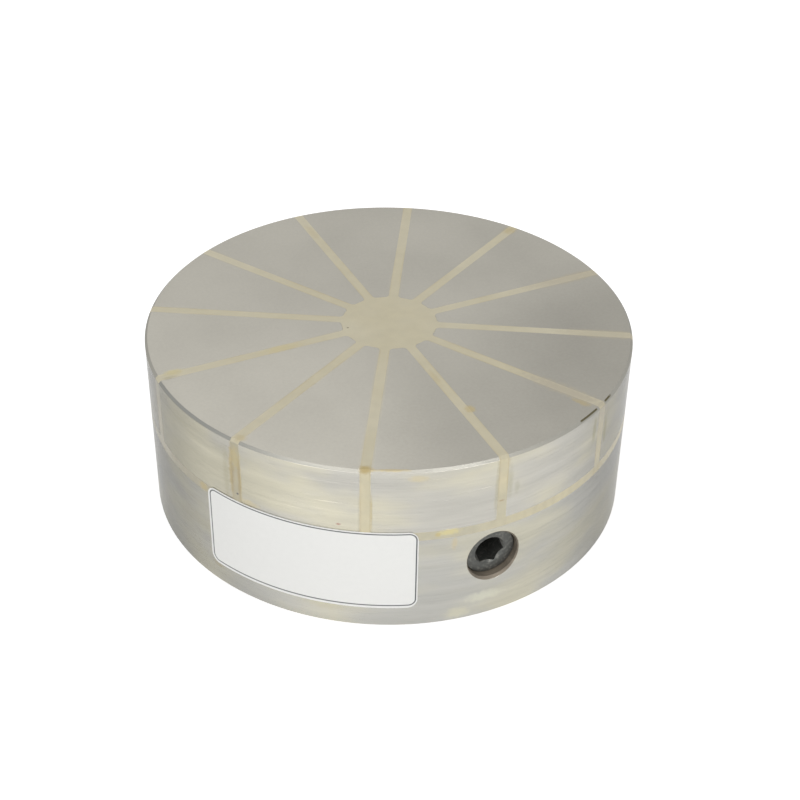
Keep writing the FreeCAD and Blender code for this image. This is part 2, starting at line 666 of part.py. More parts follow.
def make_key_shaft():
    """Shaft with the hexagon socket outside and the ball crank inside, off position, axis on Y."""
    body = new_body("key_shaft")
    section = new_sketch(body, "shaft_section")
    polygon(
        section,
        [
            ("0", f"-{KEY_FACE}"),
            (f"{KEY_RADIUS} - key_face_chamfer", f"-{KEY_FACE}"),
            (KEY_RADIUS, f"key_face_chamfer - {KEY_FACE}"),
            (KEY_RADIUS, f"-{KEY_END}"),
            ("0", f"-{KEY_END}"),
        ],
    )
    revolve(body, "turned_shaft", section)

    lead = new_sketch(body, "socket_lead_section")
    lead_radius = "hexagon / sqrt(3) + hexagon_lead"
    polygon(
        lead,
        [
            ("0", f"-{KEY_FACE}"),
            (lead_radius, f"-{KEY_FACE}"),
            ("0", f"{lead_radius} - {KEY_FACE}"),
        ],
    )
    groove(body, "socket_lead", lead)
    socket = new_sketch(body, "socket_outline", "XZ_Plane", out=KEY_FACE)
    hexagon(socket, "hexagon", "hexagon_tilt")
    pocket(body, "socket", socket, "hexagon_depth")

    for name, place, half_width, depth, angle in (
        ("seal_groove", SEAL_RADIUS, "seal_width / 2", "seal_depth", "360"),
        ("stop_groove", STOP_RADIUS, STOP_HALF_WIDTH, "stop_depth", STOP_ANGLE),
    ):
        profile = new_sketch(body, f"{name}_profile")
        floor = f"{KEY_RADIUS} - {depth}"
        polygon(
            profile,
            [
                (floor, f"-{place} - {half_width}"),
                (KEY_RADIUS, f"-{place} - {half_width}"),
                (KEY_RADIUS, f"-{place} + {half_width}"),
                (floor, f"-{place} + {half_width}"),
            ],
        )
        groove(body, name, profile, angle)

    neck = new_sketch(body, "crank_neck_circle", "XZ_Plane", out=KEY_END)
    circle(neck, "neck_diameter", x=f"-{CRANK_THROW}")
    pad(body, "crank_neck", neck, f"{KEY_END} - {CRANK_RADIUS}", backwards=True)
    ball = new_sketch(body, "crank_ball_section", along=f"-{CRANK_THROW}", up=f"-{CRANK_RADIUS}")
    half_disc(ball, "ball_diameter / 2")
    revolve(body, "crank_ball", ball)
    move(body, z="key_height")
    return body


def make_shaft_seal():
    """O-ring in the key shaft's front groove, as squeezed by its bore."""
    body = new_body("shaft_seal")
    cord = new_sketch(body, "seal_cord_circle")
    circle(cord, "seal_cord", x=f"({KEY_RADIUS} - seal_depth + {KEY_BORE_RADIUS}) / 2", y=f"-{SEAL_RADIUS}")
    revolve(body, "seal_ring", cord)
    move(body, z="key_height")
    return body


# ---------------------------------------------------------------- screws

def screw_body(label, corners, face, hexagon_size, socket_depth, at="0"):
    """A screw with its point up, and its two features.

    Corners are radius and height, face is the lowest of them, and the hexagon is sunk into it.
    """
    body = new_body(label)
    section = new_sketch(body, f"{label}_section", "XZ_Plane", along=at)
    polygon(section, corners)
    blank = revolve(body, f"{label}_blank", section)
    outline = new_sketch(body, f"{label}_socket_outline", along=at, out=face)
    hexagon(outline, hexagon_size)
    socket = pocket(body, f"{label}_socket", outline, socket_depth, backwards=True)
    return body, [blank, socket]


def make_pole_screws():
    """Socket cap screws, one to a pole, from the mounting face."""
    head = "pole_screw_head / 2"
    shank = "pole_screw_diameter / 2"
    corners = [
        ("0", "pole_screw_recess"),
        (head, "pole_screw_recess"),
        (head, SCREW_SEAT),
        (shank, SCREW_SEAT),
        (shank, SCREW_TIP),
        ("0", SCREW_TIP),
    ]
    body, features = screw_body(
        "pole_screws",
        corners,
        "pole_screw_recess",
        "pole_screw_hexagon",
        "pole_screw_socket_depth",
        at=SCREW_CIRCLE_RADIUS,
    )
    body.AllowCompound = True
    around(body, "all_pole_screws", features, "pole_count")
    turn(body, FIRST_POLE)
    return body


def make_post_screw():
    """Countersunk screw that draws the post into the base."""
    head = "post_screw_head / 2"
    shank = "post_screw_diameter / 2"
    tip = f"{POST_SCREW_FACE} + post_screw_length"
    corners = [
        ("0", POST_SCREW_FACE),
        (head, POST_SCREW_FACE),
        (head, f"{POST_SCREW_FACE} + post_screw_land"),
        (shank, f"{POST_SCREW_FACE} + post_screw_land + {head} - {shank}"),
        (shank, tip),
        ("0", tip),
    ]
    return screw_body(
        "post_screw", corners, POST_SCREW_FACE, "post_screw_hexagon", "post_screw_socket_depth"
    )[0]


def make_stop_screw():
    """Dog point screw whose tip runs in the key shaft's stop groove."""
    shank = "stop_screw_diameter / 2"
    dog = "dog_diameter / 2"
    shoulder = f"key_height - {KEY_RADIUS} - dog_shoulder_gap"
    tip = f"key_height - {KEY_RADIUS} + stop_depth - dog_tip_gap"
    corners = [
        ("0", "stop_screw_recess"),
        (shank, "stop_screw_recess"),
        (shank, shoulder),
        (dog, shoulder),
        (dog, tip),
        ("0", tip),
    ]
    body = screw_body(
        "stop_screw", corners, "stop_screw_recess", "stop_screw_hexagon", "stop_screw_socket_depth"
    )[0]
    move(body, y=f"-{STOP_RADIUS}")
    return body


# ---------------------------------------------------------------- label

def make_label():
    """Blank film label, bent around the chuck's side."""
    body = new_body("label")
    outline = new_sketch(body, "label_outline", out=LABEL_BOTTOM)
    half_angle = f"label_length / 2 / {LABEL_RADIUS} * 180 / pi"
    sector(outline, LABEL_RADIUS, f"{LABEL_RADIUS} + label_thickness", half_angle)
    film = pad(body, "label_film", outline, "label_height")
    short = 2 * value_of("label_thickness")
    fillet(body, "label_corners", film, "label_corner", lambda edge: edge.Length < short)
    turn(body, "label_angle")
    return body


# ---------------------------------------------------------------- all sub-parts

nodes = [
    make_base_body(),
    make_isolating_ring(),
    *[make_pole_segment(index) for index in range(POLES)],
    make_resin_spider(),
    make_centre_post(),
    make_post_screw(),
    make_flat_ring("thrust_washer", POST_CLEARANCE, "washer_diameter / 2", FLOOR, "washer_thickness"),
    make_rotor(),
    make_flat_ring("rotor_bush", BUSH_BORE, BUSH_RADIUS, HUB_BOTTOM, f"{COLLAR_TOP} - {HUB_BOTTOM}"),
    *[make_magnet(index) for index in range(POLES)],
    make_flat_ring("slide_disc", POST_CLEARANCE, SLIDE_RADIUS, SLIDE_BOTTOM, "slide_disc_thickness"),
    make_key_shaft(),
    make_shaft_seal(),
    make_stop_screw(),
    make_pole_screws(),
    make_label(),
]
doc.recompute()

for item in doc.Objects:
    if {"Invalid", "Error"} & set(item.State):
        raise ValueError(f"{item.Label} failed: {item.State}")
for node in nodes:
    if node.Shape.isNull() or not node.Shape.isValid():
        raise ValueError(f"{node.Label} has no valid shape")

os.makedirs("parts", exist_ok=True)
for node in nodes:
    node.Shape.exportStep(f"parts/{node.Label}.step")
print(len(nodes), "sub-parts written")
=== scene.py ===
# %% [markdown]
# # A round magnetic chuck with radial poles
#
# The chuck holds steel workpieces while they are ground or turned.  Its working face has twelve steel poles
# with cast resin between them, and a hexagon key in its side swings the magnets under the poles or away.
# The solids of all its parts come from the frame, and none is moved or replaced.  This lesson gives each of
# them its finish, draws the printed border on the label, and sets up a small studio.  All lengths are metres.

import json
import math

import bpy
import numpy as np
from mathutils import Matrix, Vector


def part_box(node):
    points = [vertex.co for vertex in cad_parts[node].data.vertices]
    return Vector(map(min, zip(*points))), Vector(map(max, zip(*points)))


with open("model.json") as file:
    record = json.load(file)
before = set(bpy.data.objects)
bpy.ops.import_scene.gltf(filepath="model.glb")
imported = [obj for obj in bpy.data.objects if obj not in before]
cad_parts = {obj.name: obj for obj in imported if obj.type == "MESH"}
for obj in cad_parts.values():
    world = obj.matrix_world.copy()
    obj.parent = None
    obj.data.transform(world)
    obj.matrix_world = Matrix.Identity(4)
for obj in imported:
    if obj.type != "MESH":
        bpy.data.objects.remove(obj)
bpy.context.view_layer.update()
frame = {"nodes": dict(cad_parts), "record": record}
nodes = frame["nodes"]
MM = 0.001

# %% [markdown]
# ## Measures to hang the finishes on
#
# A finish that changes from place to place, such as the darker line beside a resin strip, needs to know where
# that place is.  These places could be typed in as numbers, but then they would stay behind when the chuck
# changes.  So all that the solids' boxes can tell is measured from them here, once.

# %% Places on the chuck
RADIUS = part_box("base_body")[1].x
BASE_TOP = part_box("base_body")[1].z
RING_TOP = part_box("isolating_ring")[1].z
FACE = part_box("resin_spider")[1].z
STRIP_HALF = 1.5 * MM
HUB_RADIUS = 14.8 * MM
CHAMFER = 0.8 * MM
POLES = 12
PITCH = 360 / POLES
FIRST_STRIP = 1.2 - 90
KEY_HEIGHT = (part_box("key_shaft")[0].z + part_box("key_shaft")[1].z) / 2
KEY_RADIUS = (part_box("key_shaft")[1].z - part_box("key_shaft")[0].z) / 2
print("radius", RADIUS, "base", BASE_TOP, "ring", RING_TOP, "face", FACE, "key", KEY_HEIGHT)

# %% [markdown]
# ## Shader maths as plain expressions
#
# A procedural material is arithmetic on the place of each point.  Drawn as nodes, even a short formula fills
# the screen.  Here an output socket is wrapped in a small class whose operators add the Math nodes, so that
# `1 - mask * wear` reads as it would on paper.  Colours don't go through Math nodes, which would turn them
# grey, but through Mix and Vector Math.

# %% A number that varies over a surface
class Number:
    """One output socket; arithmetic on it adds Math nodes to its finish."""

    def __init__(self, finish, socket):
        self.finish = finish
        self.socket = socket

    def math(self, operation, *others, first=None):
        values = [self, *others] if first is None else [first, self]
        return self.finish.node("ShaderNodeMath", {"operation": operation}, dict(enumerate(values)))

    def __add__(self, other):
        return self.math("ADD", other)

    def __sub__(self, other):
        return self.math("SUBTRACT", other)

    def __rsub__(self, other):
        return self.math("SUBTRACT", first=other)

    def __mul__(self, other):
        return self.math("MULTIPLY", other)

    def __truediv__(self, other):
        return self.math("DIVIDE", other)

    def __rtruediv__(self, other):
        return self.math("DIVIDE", first=other)

    def __pow__(self, other):
        return self.math("POWER", other)

    def __abs__(self):
        return self.math("ABSOLUTE")

    __radd__ = __add__
    __rmul__ = __mul__


# %% [markdown]
# ## Finishes as small programs
#
# A finish is one material.  Its nodes could be placed by hand in the editor, which is hard to read back and to
# change.  Instead one method adds any node: its settings come first, because some of them change which sockets
# the node has, and then the values or links of its sockets.  The other methods name what a painter would ask
# for: a place, a soft step, a band, clouds, a mixed colour, relief.

# %% A finish: a material and the nodes that make it
class Finish:
    """Starts an empty material and adds nodes to it."""

    def __init__(self, name):
        self.material = bpy.data.materials.new(name)
        self.material.use_nodes = True
        self.tree = self.material.node_tree
        self.tree.nodes.clear()

    def node(self, kind, settings=None, inputs=None, output=0):
        """Adds one node: its settings first, then its sockets' values or links; returns one output."""
        made = self.tree.nodes.new(kind)
        for setting, value in (settings or {}).items():
            setattr(made, setting, value)
        for socket, value in (inputs or {}).items():
            if isinstance(value, Number):
                self.tree.links.new(value.socket, made.inputs[socket])
            else:
                made.inputs[socket].default_value = value
        return Number(self, made.outputs[output])

    def place(self):
        """The point's own X, Y and Z, its distance from the chuck's axis, and its bearing in degrees."""
        point = self.node("ShaderNodeTexCoord", output=3)
        x, y, z = (self.node("ShaderNodeSeparateXYZ", inputs={0: point}, output=axis) for axis in range(3))
        return x, y, z, (x * x + y * y) ** 0.5, y.math("ARCTAN2", x) * (180 / math.pi)

    def rise(self, value, low, high, most=1.0):
        """0 at low, most at high, and a smooth step between them; it falls where low is the greater."""
        inputs = {"Value": value, "From Min": low, "From Max": high, "To Max": most}
        return self.node("ShaderNodeMapRange", {"interpolation_type": "SMOOTHSTEP"}, inputs)

    def band(self, value, centre, half_width, soft):
        """1 within half_width of the centre, fading to 0 over the width soft."""
        return 1 - self.rise(abs(value - centre), half_width, half_width + soft)

    def noise(self, x, y, z, detail=3.0, roughness=0.55):
        """Smooth random values, about 0.2 to 0.8; one cell is 1 wide in each of the three numbers."""
        where = self.node("ShaderNodeCombineXYZ", inputs={0: x, 1: y, 2: z})
        inputs = {"Vector": where, "Scale": 1.0, "Detail": detail, "Roughness": roughness}
        return self.node("ShaderNodeTexNoise", {"noise_dimensions": "3D"}, inputs)

    def mix(self, factor, first, second):
        """A colour from the first, where factor is 0, to the second, where it is 1."""
        return self.node("ShaderNodeMix", {"data_type": "RGBA"}, {0: factor, 6: first, 7: second}, output=2)

    def scaled(self, colour, number):
        """A colour made lighter or darker by a number that varies."""
        plain = colour if isinstance(colour, Number) else colour[:3]
        return self.node("ShaderNodeVectorMath", {"operation": "SCALE"}, {0: plain, "Scale": number})

    def bump(self, height, distance, strength=1.0):
        """Relief: the height is a share of the distance, in metres."""
        inputs = {"Height": height, "Distance": distance, "Strength": strength}
        return self.node("ShaderNodeBump", inputs=inputs)

    def close(self, **sockets):
        """Feeds the shader, whose sockets are named with _ for each space, and ends the material."""
        inputs = {name.replace("_", " "): value for name, value in sockets.items()}
        shader = self.node("ShaderNodeBsdfPrincipled", inputs=inputs)
        ending = self.tree.nodes.new("ShaderNodeOutputMaterial")
        self.tree.links.new(shader.socket, ending.inputs["Surface"])
        print("finish:", self.material.name, len(self.tree.nodes), "nodes")
        return self.material


def colour(red, green, blue):
    """A colour written as it looks on screen, from 0 to 255, in the linear numbers that shaders use."""
    shares = np.array([red, green, blue]) / 255
    linear = np.where(shares > 0.04045, ((shares + 0.055) / 1.055) ** 2.4, shares / 12.92)
    return (*linear.tolist(), 1.0)


# %% [markdown]
# ## Distance to the nearest strip
#
# Resin and stains follow the twelve strips.  Twelve masks would do, but the strips are 30 degrees apart, so
# one formula serves all of them: fold the bearing into the pitch, which leaves the angle to the nearest strip,
# and turn that angle into a length across the strip.  Another helper tells a surface from what lies below it,
# because one material covers a pole's face, its side and its hidden walls.

# %% Fold the bearing
def across_strip(finish, radius, bearing):
    """Length from the nearest strip's middle line, positive towards greater bearings."""
    turns = (bearing - FIRST_STRIP) / PITCH
    folded = (turns + 0.5).math("FRACT") - 0.5
    return radius * (folded * math.radians(PITCH)).math("SINE")


def along_strip_edges(finish, place, half_width, soft):
    """1 within half_width of a strip's edge, fading over the width soft; 0 on the hub in the middle."""
    radius, bearing = place[3:]
    edge = finish.band(abs(across_strip(finish, radius, bearing)), STRIP_HALF, half_width, soft)
    return edge * finish.rise(radius, HUB_RADIUS, HUB_RADIUS + 2 * MM)


def skin(finish, value, level):
    """1 on the surface that lies at a level, and 0 from a twentieth of a millimetre below it."""
    return finish.rise(value, level - 0.05 * MM, level - 0.01 * MM)


print("strips:", POLES, "first at a bearing of", FIRST_STRIP, "degrees, then every", PITCH)

# %% [markdown]
# ## Stains and small marks
#
# A used chuck has its own marks: rust and coolant have crept out along the resin, and there is a nick or two.
# They could be painted on an image, but an image has only so much detail and doesn't follow a change of size.
# Here each mark has a place, a width round the chuck and a length, and becomes a soft oval spot, broken up by
# noise so that no two look alike.

# %% The marks, one to a line
AMBER, OCHRE, OLIVE = (176, 158, 108), (196, 180, 132), (128, 122, 92)
MARKS = [
    # on the working face: bearing, radius, height, width and length in millimetres, strength and tone
    (-179.7, 69.5, 57.1, 2.0, 4.0, 0.5, (190, 178, 124)),
    (-177.9, 71.5, 57.1, 1.0, 3.0, 0.3, OLIVE),
    (-178.8, 36.0, 57.1, 2.0, 9.0, 0.45, (192, 178, 128)),
    (-87.1, 51.0, 57.1, 2.2, 2.6, 0.6, AMBER),
    (-89.5, 33.0, 57.1, 1.2, 6.0, 0.3, AMBER),
    (-60.9, 69.5, 57.1, 1.6, 4.5, 0.45, AMBER),
    (-58.8, 62.0, 57.1, 3.4, 20.0, 0.75, (166, 158, 140)),
    (1.2, 64.0, 57.1, 3.4, 22.0, 0.6, (168, 160, 142)),
    (-28.8, 66.0, 57.1, 3.4, 18.0, 0.5, (170, 162, 142)),
    (-118.8, 74.0, 57.1, 2.6, 2.0, 0.75, (170, 148, 88)),
    (-113.5, 74.2, 57.1, 7.5, 0.7, 0.5, AMBER),
    (-148.2, 73.0, 57.1, 2.4, 2.4, 0.4, AMBER),
    (31.2, 71.5, 57.1, 2.6, 3.5, 0.5, AMBER),
    (91.2, 62.0, 57.1, 2.0, 7.0, 0.25, AMBER),
    (171.0, 13.2, 57.1, 0.5, 0.5, 0.9, (110, 104, 84)),
    # on the side: bearing, radius, height, width and height of the mark, strength and tone
    (-150.0, 75.0, 46.0, 1.3, 12.0, 0.6, (158, 142, 104)),
    (-147.9, 75.0, 44.0, 0.9, 10.0, 0.55, (164, 144, 98)),
    (-149.0, 75.0, 51.0, 2.2, 6.0, 0.6, (190, 174, 124)),
    (-151.6, 75.0, 44.0, 1.6, 14.0, 0.3, (150, 144, 122)),
    (-148.7, 75.0, 38.3, 0.6, 0.5, 0.95, (84, 84, 90)),
    (-145.5, 75.0, 36.6, 4.5, 1.6, 0.35, OCHRE),
    (-124.6, 75.0, 37.6, 1.0, 0.5, 0.7, (150, 96, 88)),
    (-117.5, 75.0, 43.0, 0.5, 9.0, 0.35, AMBER),
    (-107.5, 75.0, 54.5, 4.5, 1.5, 0.35, OCHRE),
    (-101.0, 75.0, 34.4, 5.0, 1.6, 0.8, (218, 206, 150)),
    (-103.2, 75.0, 34.0, 1.4, 1.0, 0.6, (190, 172, 116)),
    (-99.4, 75.0, 30.0, 1.3, 3.2, 0.35, (190, 172, 128)),
    (-90.2, 75.0, 45.5, 0.9, 12.0, 0.4, (160, 154, 124)),
    (-87.0, 75.0, 48.0, 1.3, 7.0, 0.4, (160, 156, 132)),
    (-85.2, 75.0, 45.0, 1.2, 3.4, 0.35, (158, 155, 136)),
    (-88.9, 75.0, 41.8, 1.3, 0.4, 0.6, (168, 140, 104)),
    (-61.6, 75.0, 50.0, 1.4, 6.0, 0.5, (146, 142, 112)),
    (-56.4, 75.0, 47.0, 1.4, 8.0, 0.5, (150, 144, 108)),
    (-58.6, 75.0, 33.6, 5.0, 2.0, 0.45, (178, 164, 122)),
    (-159.4, 75.0, 33.8, 2.6, 2.0, 0.7, (186, 168, 116)),
    (-128.0, 75.0, 7.0, 9.0, 3.0, 0.25, (176, 168, 138)),
    (-156.0, 75.0, 6.6, 3.0, 1.6, 0.35, (150, 140, 112)),
    (-92.0, 75.0, 7.5, 8.5, 2.6, 0.45, (200, 200, 182)),
    (-98.0, 75.0, 3.0, 5.0, 3.0, 0.4, (200, 196, 168)),
]
print("marks:", len(MARKS))

# %% Lay the marks over a colour
CRUMBLE_CELLS = 700
CRUMBLE = 0.9


def add_marks(finish, place, shade):
    """Lays every mark over a shade.

    A Mapping node measures from the mark's middle, outwards, round the chuck and up, in units of the mark's own
    size, so that the length of its result is 1 on the mark's oval edge.
    """
    x, y, z = place[:3]
    point = finish.node("ShaderNodeTexCoord", output=3)
    crumble = (finish.noise(x * CRUMBLE_CELLS, y * CRUMBLE_CELLS, z * CRUMBLE_CELLS, 2.0) - 0.5) * CRUMBLE
    for bearing, reach, height, width, length, strength, tone in MARKS:
        angle = math.radians(bearing)
        own = {
            "Vector": point,
            "Location": (reach * MM * math.cos(angle), reach * MM * math.sin(angle), height * MM),
            "Rotation": (0, 0, angle),
            "Scale": (length * MM, width * MM, length * MM),
        }
        local = finish.node("ShaderNodeMapping", {"vector_type": "TEXTURE"}, own)
        distance = finish.node("ShaderNodeVectorMath", {"operation": "LENGTH"}, {0: local}, output=1)
        fade = finish.rise(distance + crumble, 1.0, 0.25, strength)
        shade = finish.mix(fade, shade, colour(*tone))
    return shade


# %% [markdown]
# ## Patterns in the steel
#
# The working face is surface ground: satin, with faint clouds where the coolant dried.  The side is turned and
# shows fine lines round the chuck, which spread each reflection up and down.  A ring-shaped noise would need
# its own coordinates.  Noise that is stretched round the chuck does the same: its cells are wide in X and Y
# and very thin in Z.  All patterns stand in one table, so that their sizes can be compared.

# %% Noise for the steel
STEEL_PATTERNS = {
    # cells to the metre along X, Y and Z, layers of detail, and the strength of the finer layers
    "clouds": (24, 24, 24, 3.0, 0.55),
    "grain": (1100, 1100, 1100, 2.0, 0.55),
    "haze": (52, 9, 24, 3.0, 0.55),
    "drift": (26, 26, 60, 3.0, 0.55),
    "lines": (12, 12, 1500, 4.0, 0.65),
    "streaks": (28, 28, 240, 3.0, 0.55),
}


def steel_patterns(finish, place):
    """The noise of every pattern, by its name."""
    x, y, z = place[:3]
    patterns = {}
    for name, (along_x, along_y, up, detail, roughness) in STEEL_PATTERNS.items():
        patterns[name] = finish.noise(x * along_x, y * along_y, z * up, detail, roughness)
    return patterns


print("patterns:", ", ".join(STEEL_PATTERNS))

# %% [markdown]
# ## The ground face
#
# Fine grain, clouds and a haze that runs the way of the grinding make the face's colour uneven by a few parts
# in a hundred.  One sector to the right of the key is darker.  Beside each strip the grinding has smeared a
# little resin over the steel, patchy like the haze.

# %% Colour of the face
SMEARED_ON_FACE = colour(176, 169, 148)


def ground_face(finish, place, noise, smear, tone):
    """Clouds, haze and grain over one tone, a darker sector, and resin smeared beside the strips."""
    radius, bearing = place[3:]
    # one sector, to the right of the key, is made darker
    darker_sector = finish.band(bearing, -58, 34, 36) * finish.rise(radius, 12 * MM, 62 * MM, 0.17)
    level = 0.78 + noise["clouds"] * 0.24 + noise["haze"] * 0.10 + noise["grain"] * 0.12
    shade = finish.scaled(tone, level * (1 - darker_sector))
    return finish.mix(smear * finish.rise(noise["haze"], 0.35, 0.7, 0.5), shade, SMEARED_ON_FACE)


# %% [markdown]
# ## The turned side
#
# Two tones, a cream and a blue one, drift into each other, and the turning lines and wider streaks darken them.
# The front of the side is painted lighter as painted light, and the far sides are painted darker as painted
# shade.  A stronger lamp would change the whole chuck, so the steel itself is made lighter by bearing, and so
# is the resin on the side, later.

# %% Colour of the side
SMEARED_ON_SIDE = colour(172, 165, 140)


def painted_light_by_bearing(finish, bearing):
    """Painted light: 1 on the front of the side, made lighter, and below 0 near a bearing of 180, painted
    shade.
    """
    painted_front_light = finish.rise(bearing, -152, -130) * finish.rise(bearing, -52, -78)
    painted_far_shade = finish.band(abs(bearing), 180, 10, 14)
    return painted_front_light - painted_far_shade * 0.7


def turned_side(finish, place, noise, smear, cream, blue):
    """Two drifting tones, lines and streaks, painted light and shade by bearing, and resin smeared on the upper
    wall.
    """
    z, radius, bearing = place[2:]
    shade = finish.mix(finish.rise(noise["drift"], 0.38, 0.64), blue, cream)
    shade = finish.scaled(shade, 0.70 + noise["streaks"] * 0.32 + noise["lines"] * 0.14)
    # painted light and shade: the side is made lighter at the front and darker at the far sides, by bearing
    shade = finish.scaled(shade, 1 + painted_light_by_bearing(finish, bearing) * 0.22)
    upper = finish.rise(z, BASE_TOP, BASE_TOP + 1 * MM)
    smeared = upper * smear * finish.rise(noise["drift"], 0.35, 0.65, 0.55)
    return finish.mix(smeared, shade, SMEARED_ON_SIDE)


# %% [markdown]
# ## The rim's chamfer and the key's bore
#
# The narrow chamfer round the face catches the light and is a little brighter than the steel beside it.  Its
# grey is painted darker towards a bearing of -180 degrees, as painted shade.  Two short dashes of oil have
# dried on its upper half.  The bore round the key was never wiped, so its bare wall and its mouth have gone
# brown.  Both are masks in the same material, because they are places on a solid that is steel all over.

# %% Colours of the chamfer and the bore
DRIED_OIL = colour(88, 82, 58)
BROWN_WALL = colour(124, 115, 102)


def chamfer_painted_shade_and_oil(finish, place, noise):
    """The chamfer's grey, painted darker near the bearing of -180 degrees as painted shade, and two dashes of
    dried oil.
    """
    z, radius, bearing = place[2:]
    # painted shade: the chamfer's grey is darker near a bearing of -180 degrees
    clear_of_painted_shade = finish.rise(abs(bearing + 180), 18, 60)
    shade = finish.mix(clear_of_painted_shade, colour(142, 142, 137), colour(158, 156, 148))
    dashes = finish.band(bearing, -63.9, 2.9, 0.5) + finish.band(bearing, -55.7, 1.2, 0.5)
    dashes = dashes * finish.rise(z, FACE - 0.62 * CHAMFER, FACE - 0.5 * CHAMFER)
    return finish.mix(dashes * finish.rise(noise["grain"], 0.2, 0.35, 0.9), shade, DRIED_OIL)


def near_key(finish, x, y, z):
    """1 inside the outer end of the bore for the key shaft and on its mouth."""
    from_axis = (x * x + (z - KEY_HEIGHT) * (z - KEY_HEIGHT)) ** 0.5
    around = finish.rise(from_axis, KEY_RADIUS + 1.6 * MM, KEY_RADIUS + 1.4 * MM)
    return around * finish.rise(y, 15 * MM - RADIUS, 13 * MM - RADIUS)


# %% [markdown]
# ## Steel of the poles and the base
#
# One function joins the places to a whole steel, so that patterns run on from the poles to the base.  The two
# get slightly different tones from it, as parts cut from different bars have.  The lines and streaks that
# colour the side also feed its relief and its roughness, as a real tool mark changes all three.

# %% Ground steel and turned steel
def steel(name, face_tone, cream, blue):
    """Steel: ground top face, turned side in two tones with painted light and shade, chamfer with painted shade
    between.
    """
    finish = Finish(name)
    place = finish.place()
    x, y, z, radius, bearing = place
    noise = steel_patterns(finish, place)
    smear = along_strip_edges(finish, place, 0.0, 0.9 * MM)
    on_face = skin(finish, z, FACE)
    on_side = skin(finish, radius, RADIUS)
    on_chamfer = (1 - on_face) * (1 - on_side) * finish.rise(z, FACE - CHAMFER, FACE - CHAMFER + 0.02 * MM)
    in_bore = near_key(finish, x, y, z) * (1 - on_side)

    side = turned_side(finish, place, noise, smear, cream, blue)
    face = ground_face(finish, place, noise, smear, face_tone)
    shade = finish.mix(on_face, side, face)
    shade = finish.mix(on_chamfer, shade, chamfer_painted_shade_and_oil(finish, place, noise))
    shade = finish.mix(in_bore, shade, finish.scaled(BROWN_WALL, 0.5 + noise["streaks"]))
    shade = add_marks(finish, place, shade)

    relief = finish.bump(noise["lines"] * (1 - on_face) + noise["grain"] * 0.03 * on_face, 0.22 * MM)
    rough = 0.33 + noise["clouds"] * 0.10 * on_face - (0.18 - noise["streaks"] * 0.08) * (1 - on_face)
    rough = rough + on_chamfer * 0.22 + in_bore * 0.25
    return finish.close(
        Base_Color=shade,
        Metallic=1 - in_bore * 0.75,
        Roughness=rough,
        Normal=relief,
        Specular_Tint=(0.6, 0.6, 0.6, 1.0),
    )


ground_steel = steel("ground_steel", colour(169, 166, 157), colour(180, 176, 159), colour(168, 166, 159))
turned_steel = steel("turned_steel", colour(169, 166, 157), colour(170, 167, 153), colour(161, 160, 155))

# %% [markdown]
# ## Cast resin
#
# Cream epoxy fills the gaps between the poles and is ground flush with the steel.  It is matt and slightly
# mottled, and has amber stains where rust and coolant crept along its edges.  A plain plastic would look new,
# so the stains follow the strips' edges and break up in patches.  On the side it is browner, and shinier from
# handling, and like the steel round it, it is painted lighter at the front and darker at the far sides, as
# painted light and shade.

# %% Resin of the hub, the strips and the ring
def cast_resin():
    """Mottled cream on the face, browner on the side with painted light and shade, amber along the strips'
    edges.
    """
    finish = Finish("cast_resin")
    place = finish.place()
    x, y, z, radius, bearing = place
    mottle = finish.noise(x * 260, y * 260, z * 260, 4.0)
    patches = finish.noise(x * 34, y * 34, z * 60, 3.0)
    shade = finish.mix(finish.rise(patches, 0.3, 0.75), colour(192, 185, 162), colour(187, 179, 152))
    shade = finish.scaled(shade, 0.90 + mottle * 0.20)
    # browner resin on the side, with painted light and shade by bearing: lighter at the front, darker at the
    # far sides
    side_tone_with_painted_light = finish.mix(finish.rise(patches, 0.3, 0.7), colour(170, 165, 145), colour(187, 178, 149))
    side_tone_with_painted_light = finish.scaled(side_tone_with_painted_light, (0.85 + mottle * 0.25) * (1 + painted_light_by_bearing(finish, bearing) * 0.34))
    on_side = skin(finish, radius, RADIUS)
    shade = finish.mix(on_side, shade, side_tone_with_painted_light)
    stained = along_strip_edges(finish, place, 0.15 * MM, 0.4 * MM) * finish.rise(patches, 0.42, 0.7)
    shade = finish.mix(stained * 0.4, shade, colour(160, 142, 100))
    shade = add_marks(finish, place, shade)
    relief = finish.bump(mottle, 0.05 * MM, 0.4)
    return finish.close(Base_Color=shade, Roughness=0.42 + mottle * 0.2 - on_side * 0.14, Normal=relief)


resin = cast_resin()

# %% [markdown]
# ## Black oxide, rubber, bronze and plated magnets
#
# The other parts are each of one kind all over.  A blackened key is never plain black: its skin is thin and
# shows grey speckles.  Bronze, stainless steel and nickel plate show the same on a smaller scale of tones, and
# so does rubber.  So one function serves them all, with two tones, how metallic and how rough they are, the
# fineness of the speckles, and how much of the lighter or second tone shows.

# %% Speckled finishes
CLOUD_WIDTH = 12


def speckled(name, dark, light, metallic, roughness, cells, share):
    """A finish of two tones in small speckles; its roughness changes in clouds CLOUD_WIDTH times as wide."""
    finish = Finish(name)
    x, y, z = finish.place()[:3]
    speckle = finish.noise(x * cells, y * cells, z * cells, 4.0, 0.6)
    clouds = finish.noise(*(axis * cells / CLOUD_WIDTH for axis in (x, y, z)), 2.0)
    shade = finish.mix(finish.rise(speckle, 0.45, 0.72) * share, dark, light)
    rough = roughness + clouds * 0.16 - 0.08
    relief = finish.bump(speckle, 0.04 * MM, 0.5)
    return finish.close(Base_Color=shade, Metallic=metallic, Roughness=rough, Normal=relief)


